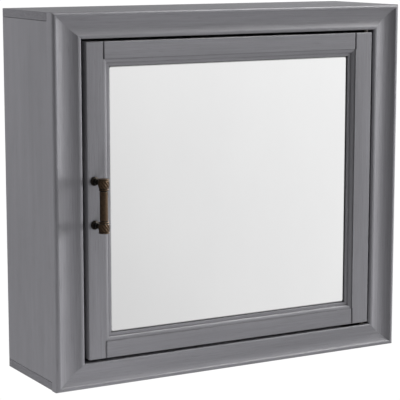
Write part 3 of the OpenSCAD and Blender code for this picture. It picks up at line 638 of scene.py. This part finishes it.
def painted_wood(axis):
    """Satin grey paint over wood with painted shade in joints and gaps: the grain runs along axis and is
    rougher on end grain.
    """
    material, tree, shader = fresh_material(f"painted_wood_{axis}")
    streaks = noise(tree, own_place(tree, stretched(axis, along=9, across=420)), detail=5.0, rough=0.62)
    pores = noise(tree, own_place(tree, stretched(axis, along=38, across=1300)), detail=2.0, rough=0.5)
    wide = own_place(tree, stretched(axis, along=2.6, across=34))
    broad = noise(tree, wide, detail=3.0, rough=0.5, distortion=0.6)
    fine = noise(tree, own_place(tree), scale=900.0, detail=2.0)
    rings = noise(tree, own_place(tree, (260, 160, 520)), detail=6.0, rough=0.7, distortion=1.5)
    along = maths(tree, "ABSOLUTE", own_normal(tree)[AXES[axis]])
    end = remap(tree, along, 0.8, 0.95)
    holes = remap(tree, pores, 0.42, 0.32)
    tone = weighted(tree, (spread(tree, streaks), 0.55), (spread(tree, broad), 0.45))
    colour = blend_colours(tree, tone, PAINT_DARK, PAINT_LIGHT)
    colour = blend_colours(tree, times(tree, holes, 0.35), colour, PAINT_IN_PORES)
    end_tone = blend_colours(tree, remap(tree, rings, 0.35, 0.65), END_DARK, END_LIGHT)
    colour = blend_colours(tree, end, colour, end_tone)
    worn, rounded = edge_mask(tree, 0.6 * MM)
    worn = times(tree, worn, remap(tree, broad, 0.35, 0.6, 0.25, 0.8))
    colour = blend_colours(tree, times(tree, worn, 0.35), colour, PAINT_WORN)
    # Painted shade: ambient occlusion darkens grooves and joints (corners) and the gaps round the door nearly
    # to black.
    corners = cavity_mask(tree, 3.0 * MM, open_ground=0.88, deep=0.42)
    painted_gap_shade = cavity_mask(tree, 9.0 * MM, open_ground=0.12, deep=0.02)
    painted_crevice_shade = times(tree, maths(tree, "MAXIMUM", corners, painted_gap_shade), 0.94)
    colour = blend_colours(tree, painted_crevice_shade, colour, PAINT_CREVICE_SHADE)
    rough = maths(tree, "ADD", spread(tree, streaks, 0.36, 0.48), times(tree, end, 0.2))
    relief = weighted(tree, (streaks, 0.7), (fine, 0.12), (holes, -0.5))
    normal = bump(tree, relief, 0.16 * MM, 0.9, rounded)
    normal = bump(tree, times(tree, rings, end), 0.5 * MM, 0.9, normal)
    finish_with(tree, shader, colour, rough, normal)
    shader.inputs["Specular IOR Level"].default_value = 0.5
    return material


def bare_wood(dark, light):
    """Unfinished beech: short fine flecks."""
    material, tree, shader = fresh_material("bare_beech")
    fleck = noise(tree, own_place(tree, (900, 120, 900)), rough=0.6)
    colour = blend_colours(tree, remap(tree, fleck, 0.35, 0.65), dark, light)
    finish_with(tree, shader, colour, spread(tree, fleck, 0.6, 0.75), bump(tree, fleck, 0.1 * MM))
    return material


def hardboard(dark, light):
    """Pressed fibre board: brown, mottled, with short fibres lying every way."""
    material, tree, shader = fresh_material("hardboard")
    fibres = noise(tree, own_place(tree, (700, 700, 700)), detail=6.0, rough=0.75, distortion=2.0)
    clouds = noise(tree, own_place(tree), scale=22.0, rough=0.6)
    tone = weighted(tree, (spread(tree, fibres), 0.6), (spread(tree, clouds), 0.4))
    colour = blend_colours(tree, tone, dark, light)
    finish_with(tree, shader, colour, spread(tree, fibres, 0.5, 0.72), bump(tree, fibres, 0.12 * MM, 0.7))
    return material


SCRATCH_SCALE = 900.0


def plated_metal(name, dark, light, rough):
    """Plated or plain metal: cloudy tone, fine scratches, brighter on its corners."""
    material, tree, shader = fresh_material(name)
    clouds = noise(tree, own_place(tree), scale=SCRATCH_SCALE / 6, detail=5.0, rough=0.65)
    scratch_scale = tuple(SCRATCH_SCALE * share for share in (0.15, 2.5, 1.2))
    scratch = noise(tree, own_place(tree, scratch_scale), rough=0.6)
    worn, rounded = edge_mask(tree, 0.3 * MM)
    colour = blend_colours(tree, spread(tree, clouds), dark, light)
    polished = tuple(min(1.0, c * 1.5) for c in light[:3]) + (1.0,)
    colour = blend_colours(tree, times(tree, worn, 0.5), colour, polished)
    normal = bump(tree, scratch, 0.02 * MM, 0.6, rounded)
    finish_with(tree, shader, colour, spread(tree, scratch, *rough), normal)
    shader.inputs["Metallic"].default_value = 1.0
    return material


# Near-black for patina in the hollows and for painted shade near the door.
BRONZE_PATINA_AND_SHADE = (0.006, 0.0055, 0.005, 1)


def aged_bronze(name, dark, light, rubbed_tone):
    """Dark patina over bronze, rubbed to a warmer metal on the high spots and black in the hollows; painted
    shade darkens it near the door.
    """
    material, tree, shader = fresh_material(name)
    patina = noise(tree, own_place(tree), scale=420.0, detail=6.0, rough=0.65, distortion=0.4)
    brushed = noise(tree, own_place(tree, (900, 900, 60)), rough=0.6)
    worn, rounded = edge_mask(tree, 0.6 * MM)
    rubbed = times(tree, worn, remap(tree, patina, 0.35, 0.65, 0.2, 1.0))
    tone = weighted(tree, (spread(tree, patina), 0.6), (spread(tree, brushed), 0.4))
    colour = blend_colours(tree, tone, dark, light)
    colour = blend_colours(tree, times(tree, rubbed, 0.85), colour, rubbed_tone)
    # Painted shade: the wide mask darkens the posts where they stand close to the door; the narrow one is
    # patina in the hollows.
    painted_shade_near_door = cavity_mask(tree, 24 * MM, open_ground=0.90, deep=0.62)
    hollows = cavity_mask(tree, 1.4 * MM, open_ground=0.85, deep=0.5)
    patina_and_painted_shade = maths(tree, "MAXIMUM", painted_shade_near_door, hollows)
    colour = blend_colours(tree, times(tree, patina_and_painted_shade, 0.92), colour, BRONZE_PATINA_AND_SHADE)
    rough = maths(tree, "SUBTRACT", spread(tree, patina, 0.32, 0.46), times(tree, rubbed, 0.14))
    relief = weighted(tree, (patina, 0.6), (brushed, 0.4))
    finish_with(tree, shader, colour, rough, bump(tree, relief, 0.06 * MM, 0.7, rounded))
    shader.inputs["Metallic"].default_value = 1.0
    return material


SILVER_DARK, SILVER_LIGHT = (0.845, 0.845, 0.847, 1), (0.865, 0.865, 0.866, 1)
SILVER_PAINTED_SHADE = (0.03, 0.03, 0.032, 1)
GROUND_GLASS = (0.30, 0.36, 0.33, 1)


def mirror():
    """Silvered glass with a trace of haze and painted shade along its rim by the frame; its ground edge is a
    frosted green-grey.
    """
    material, tree, shader = fresh_material("mirror_silver")
    haze = noise(tree, own_place(tree, (9, 9, 6)), rough=0.6)
    back_or_edge = remap(tree, own_normal(tree)["Y"], -0.9, -0.5)
    silver = blend_colours(tree, spread(tree, haze), SILVER_DARK, SILVER_LIGHT)
    # Painted shade: the silver darkens next to the frame's rebate, where shade falls on it.
    silver = blend_colours(tree, cavity_mask(tree, 4 * MM, open_ground=0.88, deep=0.7), silver, SILVER_PAINTED_SHADE)
    colour = blend_colours(tree, back_or_edge, silver, GROUND_GLASS)
    tree.links.new(colour, shader.inputs["Base Color"])
    tree.links.new(maths(tree, "SUBTRACT", 1.0, back_or_edge), shader.inputs["Metallic"])
    rough = maths(tree, "ADD", spread(tree, haze, 0.012, 0.03), times(tree, back_or_edge, 0.4))
    tree.links.new(rough, shader.inputs["Roughness"])
    return material


ROUGH_VARIES = 0.06


def moulded(name, dark, light, rough, scale=1400.0, depth=0.03 * MM):
    """Moulded plastic, rubber or sintered ferrite: fine grain all over."""
    material, tree, shader = fresh_material(name)
    grain = noise(tree, own_place(tree), scale=scale, detail=3.0, rough=0.6)
    clouds = noise(tree, own_place(tree), scale=scale / 12, detail=3.0, rough=0.5)
    colour = blend_colours(tree, spread(tree, clouds), dark, light)
    roughness = spread(tree, grain, rough - ROUGH_VARIES, rough + ROUGH_VARIES)
    finish_with(tree, shader, colour, roughness, bump(tree, grain, depth, 0.7))
    return material


PAINTED = {axis: painted_wood(axis) for axis in ("x", "z")}
FINISHES = {
    "bare_wood": bare_wood(dark=(0.45, 0.29, 0.15, 1), light=(0.66, 0.47, 0.27, 1)),
    "hardboard": hardboard(dark=(0.115, 0.062, 0.032, 1), light=(0.25, 0.15, 0.085, 1)),
    "zinc_steel": plated_metal(
        "zinc_plate", dark=(0.42, 0.43, 0.45, 1), light=(0.62, 0.62, 0.60, 1), rough=(0.28, 0.42)),
    "hinge_steel": plated_metal(
        "dark_hinge_steel", dark=(0.035, 0.033, 0.032, 1), light=(0.085, 0.08, 0.075, 1), rough=(0.32, 0.48)),
    "aged_bronze": aged_bronze(
        "aged_bronze", dark=(0.036, 0.025, 0.016, 1), light=(0.135, 0.090, 0.057, 1),
        rubbed_tone=(0.80, 0.68, 0.52, 1)),
    "mirror": mirror(),
    "catch_plastic": moulded(
        "white_plastic", dark=(0.66, 0.66, 0.63, 1), light=(0.74, 0.74, 0.71, 1), rough=0.45),
    "magnet": moulded(
        "ferrite", dark=(0.035, 0.035, 0.038, 1), light=(0.065, 0.065, 0.07, 1), rough=0.55,
        scale=2000.0, depth=0.06 * MM),
    "bumper_rubber": moulded(
        "clear_rubber", dark=(0.50, 0.50, 0.47, 1), light=(0.60, 0.60, 0.57, 1), rough=0.5),
}
# A darker copy of the bronze for the handle posts: painted shade, as they stand in the moulding's shadow.
SHADED_BRONZE = aged_bronze(
    "blackened_bronze", dark=(0.012, 0.011, 0.010, 1), light=(0.045, 0.036, 0.028, 1),
    rubbed_tone=(0.22, 0.18, 0.14, 1))
UPRIGHT_GRAIN = (
    "side_panel", "mirror_bead_left", "mirror_bead_right", "front_moulding_left", "front_moulding_right",
    "stile", "stop_blocks", "catch_block")


def finish_for(name, slot_name):
    """The material of a piece: paint follows the wood's grain, and the handle posts take a darker copy of the
    bronze, painted shade.
    """
    if name.startswith("pull_post"):
        return SHADED_BRONZE
    if slot_name != "painted_wood":
        return FINISHES[slot_name]
    return PAINTED["z" if name.startswith(UPRIGHT_GRAIN) else "x"]


def dress(obj, slot_name):
    """Gives an object the finish of a material slot."""
    obj.data.materials.clear()
    obj.data.materials.append(finish_for(obj.name, slot_name))


def stand_for(piece, body, *nodes):
    """piece replaces CAD nodes on one body and takes their finish."""
    slot_name = SLOT_OF[nodes[0]]
    dress(piece, slot_name)
    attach(piece, body)
    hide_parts(*nodes)


# ---------------------------------------------------------------- building


def build_pieces():
    """The detailed pieces that stand for CAD nodes."""
    for side in ("left", "right", "top", "bottom"):
        stand_for(moulding(side), "cabinet", f"moulding_{side}")
    for side in ("top", "bottom"):
        stand_for(board(side), "cabinet", f"{side}_panel")
    for side in ("left", "right"):
        stand_for(stile(side), "door", f"door_stile_{side}")
    for side in ("top", "bottom"):
        stand_for(rail(side), "door", f"door_rail_{side}")
    stand_for(handle_bar(), "door", "handle_bar")
    for end in ("upper", "lower"):
        stand_for(handle_post(end), "door", f"handle_post_{end}")


def dress_nodes():
    """The CAD nodes that stay in view get their finishes."""
    for name, node in NODES.items():
        if not node.hide_render:
            dress(node, SLOT_OF[name])


# ---------------------------------------------------------------- studio

BRIGHT_AZIMUTH = math.radians(62)
BRIGHT_SIDE = Vector((math.sin(BRIGHT_AZIMUTH), -math.cos(BRIGHT_AZIMUTH), 0.0))
GLOW = ((0.0, 0.25), (0.5, 0.36), (0.8, 0.62), (0.9, 0.90), (0.945, 1.02), (1.0, 1.05))
WHITE = (1, 1, 1, 1)
SEEN_WHITE = 1.02
WORLD_FILL = 0.10
FLOOR_FILL = 0.30
FLOOR_Z = -0.95
FLOOR_HALF = 60.0
FLOOR_NEAR, FLOOR_FAR, FLOOR_NEAR_GLOW = 2.0, 14.0, 0.93


def studio_glow(tree, direction):
    """How bright the surround looks in a reflection: brightest on the right, where the key light is."""
    towards = add(tree, "ShaderNodeVectorMath", {"operation": "NORMALIZE"}, i0=direction)
    dot = add(tree, "ShaderNodeVectorMath", {"operation": "DOT_PRODUCT"}, i0=towards.outputs["Vector"])
    dot.inputs[1].default_value = BRIGHT_SIDE
    ramp = add(tree, "ShaderNodeValToRGB", Fac=remap(tree, dot.outputs["Value"], -1.0, 1.0))
    stops = ramp.color_ramp.elements
    while len(stops) < len(GLOW):
        stops.new(0.5)
    for stop, (place, level) in zip(stops, GLOW):
        stop.position = place
        stop.color = (level, level, level, 1.0)
    return ramp.outputs["Color"]


def by_ray(tree, kind, glow, cast_strength):
    """A light that is white to the camera, glow in reflections, and cast_strength as light on the object."""
    path = add(tree, "ShaderNodeLightPath")
    seen = add(tree, kind, Color=WHITE, Strength=SEEN_WHITE).outputs[0]
    mirrored = add(tree, kind, Color=WHITE, Strength=glow).outputs[0]
    cast = add(tree, kind, Color=WHITE, Strength=cast_strength).outputs[0]
    mix = "ShaderNodeMixShader"
    first = add(tree, mix, i0=path.outputs["Is Camera Ray"], i1=mirrored, i2=seen).outputs[0]
    return add(tree, mix, i0=path.outputs["Is Diffuse Ray"], i1=first, i2=cast).outputs[0]


def studio_world():
    """A white surround that adds only a little fill."""
    world = bpy.data.worlds.new("studio")
    bpy.context.scene.world = world
    world.use_nodes = True
    tree = world.node_tree
    glow = studio_glow(tree, add(tree, "ShaderNodeTexCoord").outputs["Generated"])
    output = next(n for n in tree.nodes if n.type == "OUTPUT_WORLD")
    tree.links.new(by_ray(tree, "ShaderNodeBackground", glow, WORLD_FILL), output.inputs["Surface"])


def studio_floor():
    """A plain pale floor well below the cabinet."""
    h = FLOOR_HALF
    corners = [(-h, -h, FLOOR_Z), (h, -h, FLOOR_Z), (h, h, FLOOR_Z), (-h, h, FLOOR_Z)]
    floor = new_object("studio_floor", corners, [(0, 1, 2, 3)])
    material, tree, shader = fresh_material("studio_floor")
    place = add(tree, "ShaderNodeTexCoord").outputs["Object"]
    far = add(tree, "ShaderNodeVectorMath", {"operation": "LENGTH"}, i0=place).outputs["Value"]
    dimmer = remap(tree, far, FLOOR_NEAR, FLOOR_FAR, FLOOR_NEAR_GLOW, 1.0)
    glow = times(tree, studio_glow(tree, place), dimmer)
    output = next(n for n in tree.nodes if n.type == "OUTPUT_MATERIAL")
    tree.links.new(by_ray(tree, "ShaderNodeEmission", glow, FLOOR_FILL), output.inputs["Surface"])
    tree.nodes.remove(shader)
    floor.data.materials.append(material)


def area_light(name, azimuth, elevation, distance, size, power, diffuse=True, glossy=True):
    """A soft box aimed at the cabinet; azimuth 0 is straight ahead of the door and 90 is on its right.

    size is its width and height; diffuse and glossy say whether it lights matt tone and makes highlights.
    """
    a, e = math.radians(azimuth), math.radians(elevation)
    towards = Vector((math.sin(a) * math.cos(e), -math.cos(a) * math.cos(e), math.sin(e)))
    data = bpy.data.lights.new(name, "AREA")
    data.shape = "RECTANGLE"
    data.size, data.size_y = size
    data.energy = power
    lamp = bpy.data.objects.new(name, data)
    bpy.context.scene.collection.objects.link(lamp)
    lamp.location = towards * distance
    lamp.rotation_mode = "QUATERNION"
    lamp.rotation_quaternion = (-towards).to_track_quat("-Z", "Y")
    lamp.visible_diffuse = diffuse
    lamp.visible_glossy = glossy


def studio_lights():
    """A key from the right with a separate highlight, two small high lights for the edges, and two fills.

    One fill comes from behind on the left, for the side panel, and the other from low in front on the left.
    """
    area_light("key_right", 64, -3, distance=7.0, size=(2.4, 3.6), power=810, glossy=False)
    area_light("key_gloss", 62, -4, distance=7.0, size=(1.6, 3.0), power=85, diffuse=False)
    area_light("high_right", 70, 57, distance=3.0, size=(0.5, 0.5), power=60)
    area_light("high_gloss", 68, 32, distance=3.0, size=(0.6, 0.6), power=60, diffuse=False)
    area_light("side_left", -119, 20, distance=2.6, size=(1.2, 1.4), power=60, glossy=False)
    area_light("low_left", -42, -40, distance=1.2, size=(0.5, 0.5), power=6.0, glossy=False)


CAMERA_AT = Vector((-1.2348, -2.2428, 0.3724))
CAMERA_AZIMUTH = 29.599
CAMERA_DROP = 9.12
CAMERA_LENS = 144.67
SENSOR = 36.0
CLIP_NEAR, CLIP_FAR = 0.05, 300.0


def camera():
    """The photograph's viewpoint: left of the door and a little above, looking slightly down."""
    data = bpy.data.cameras.new("camera")
    data.lens, data.sensor_width = CAMERA_LENS, SENSOR
    data.clip_start, data.clip_end = CLIP_NEAR, CLIP_FAR
    cam = bpy.data.objects.new("camera", data)
    bpy.context.scene.collection.objects.link(cam)
    a, e = math.radians(CAMERA_AZIMUTH), math.radians(CAMERA_DROP)
    ahead = Vector((math.sin(a) * math.cos(e), math.cos(a) * math.cos(e), -math.sin(e)))
    cam.location = CAMERA_AT
    cam.rotation_mode = "QUATERNION"
    cam.rotation_quaternion = ahead.to_track_quat("-Z", "Y")
    bpy.context.scene.camera = cam


build_pieces()
dress_nodes()
studio_world()
studio_floor()
studio_lights()
camera()
bpy.context.scene.view_settings.view_transform = "Standard"
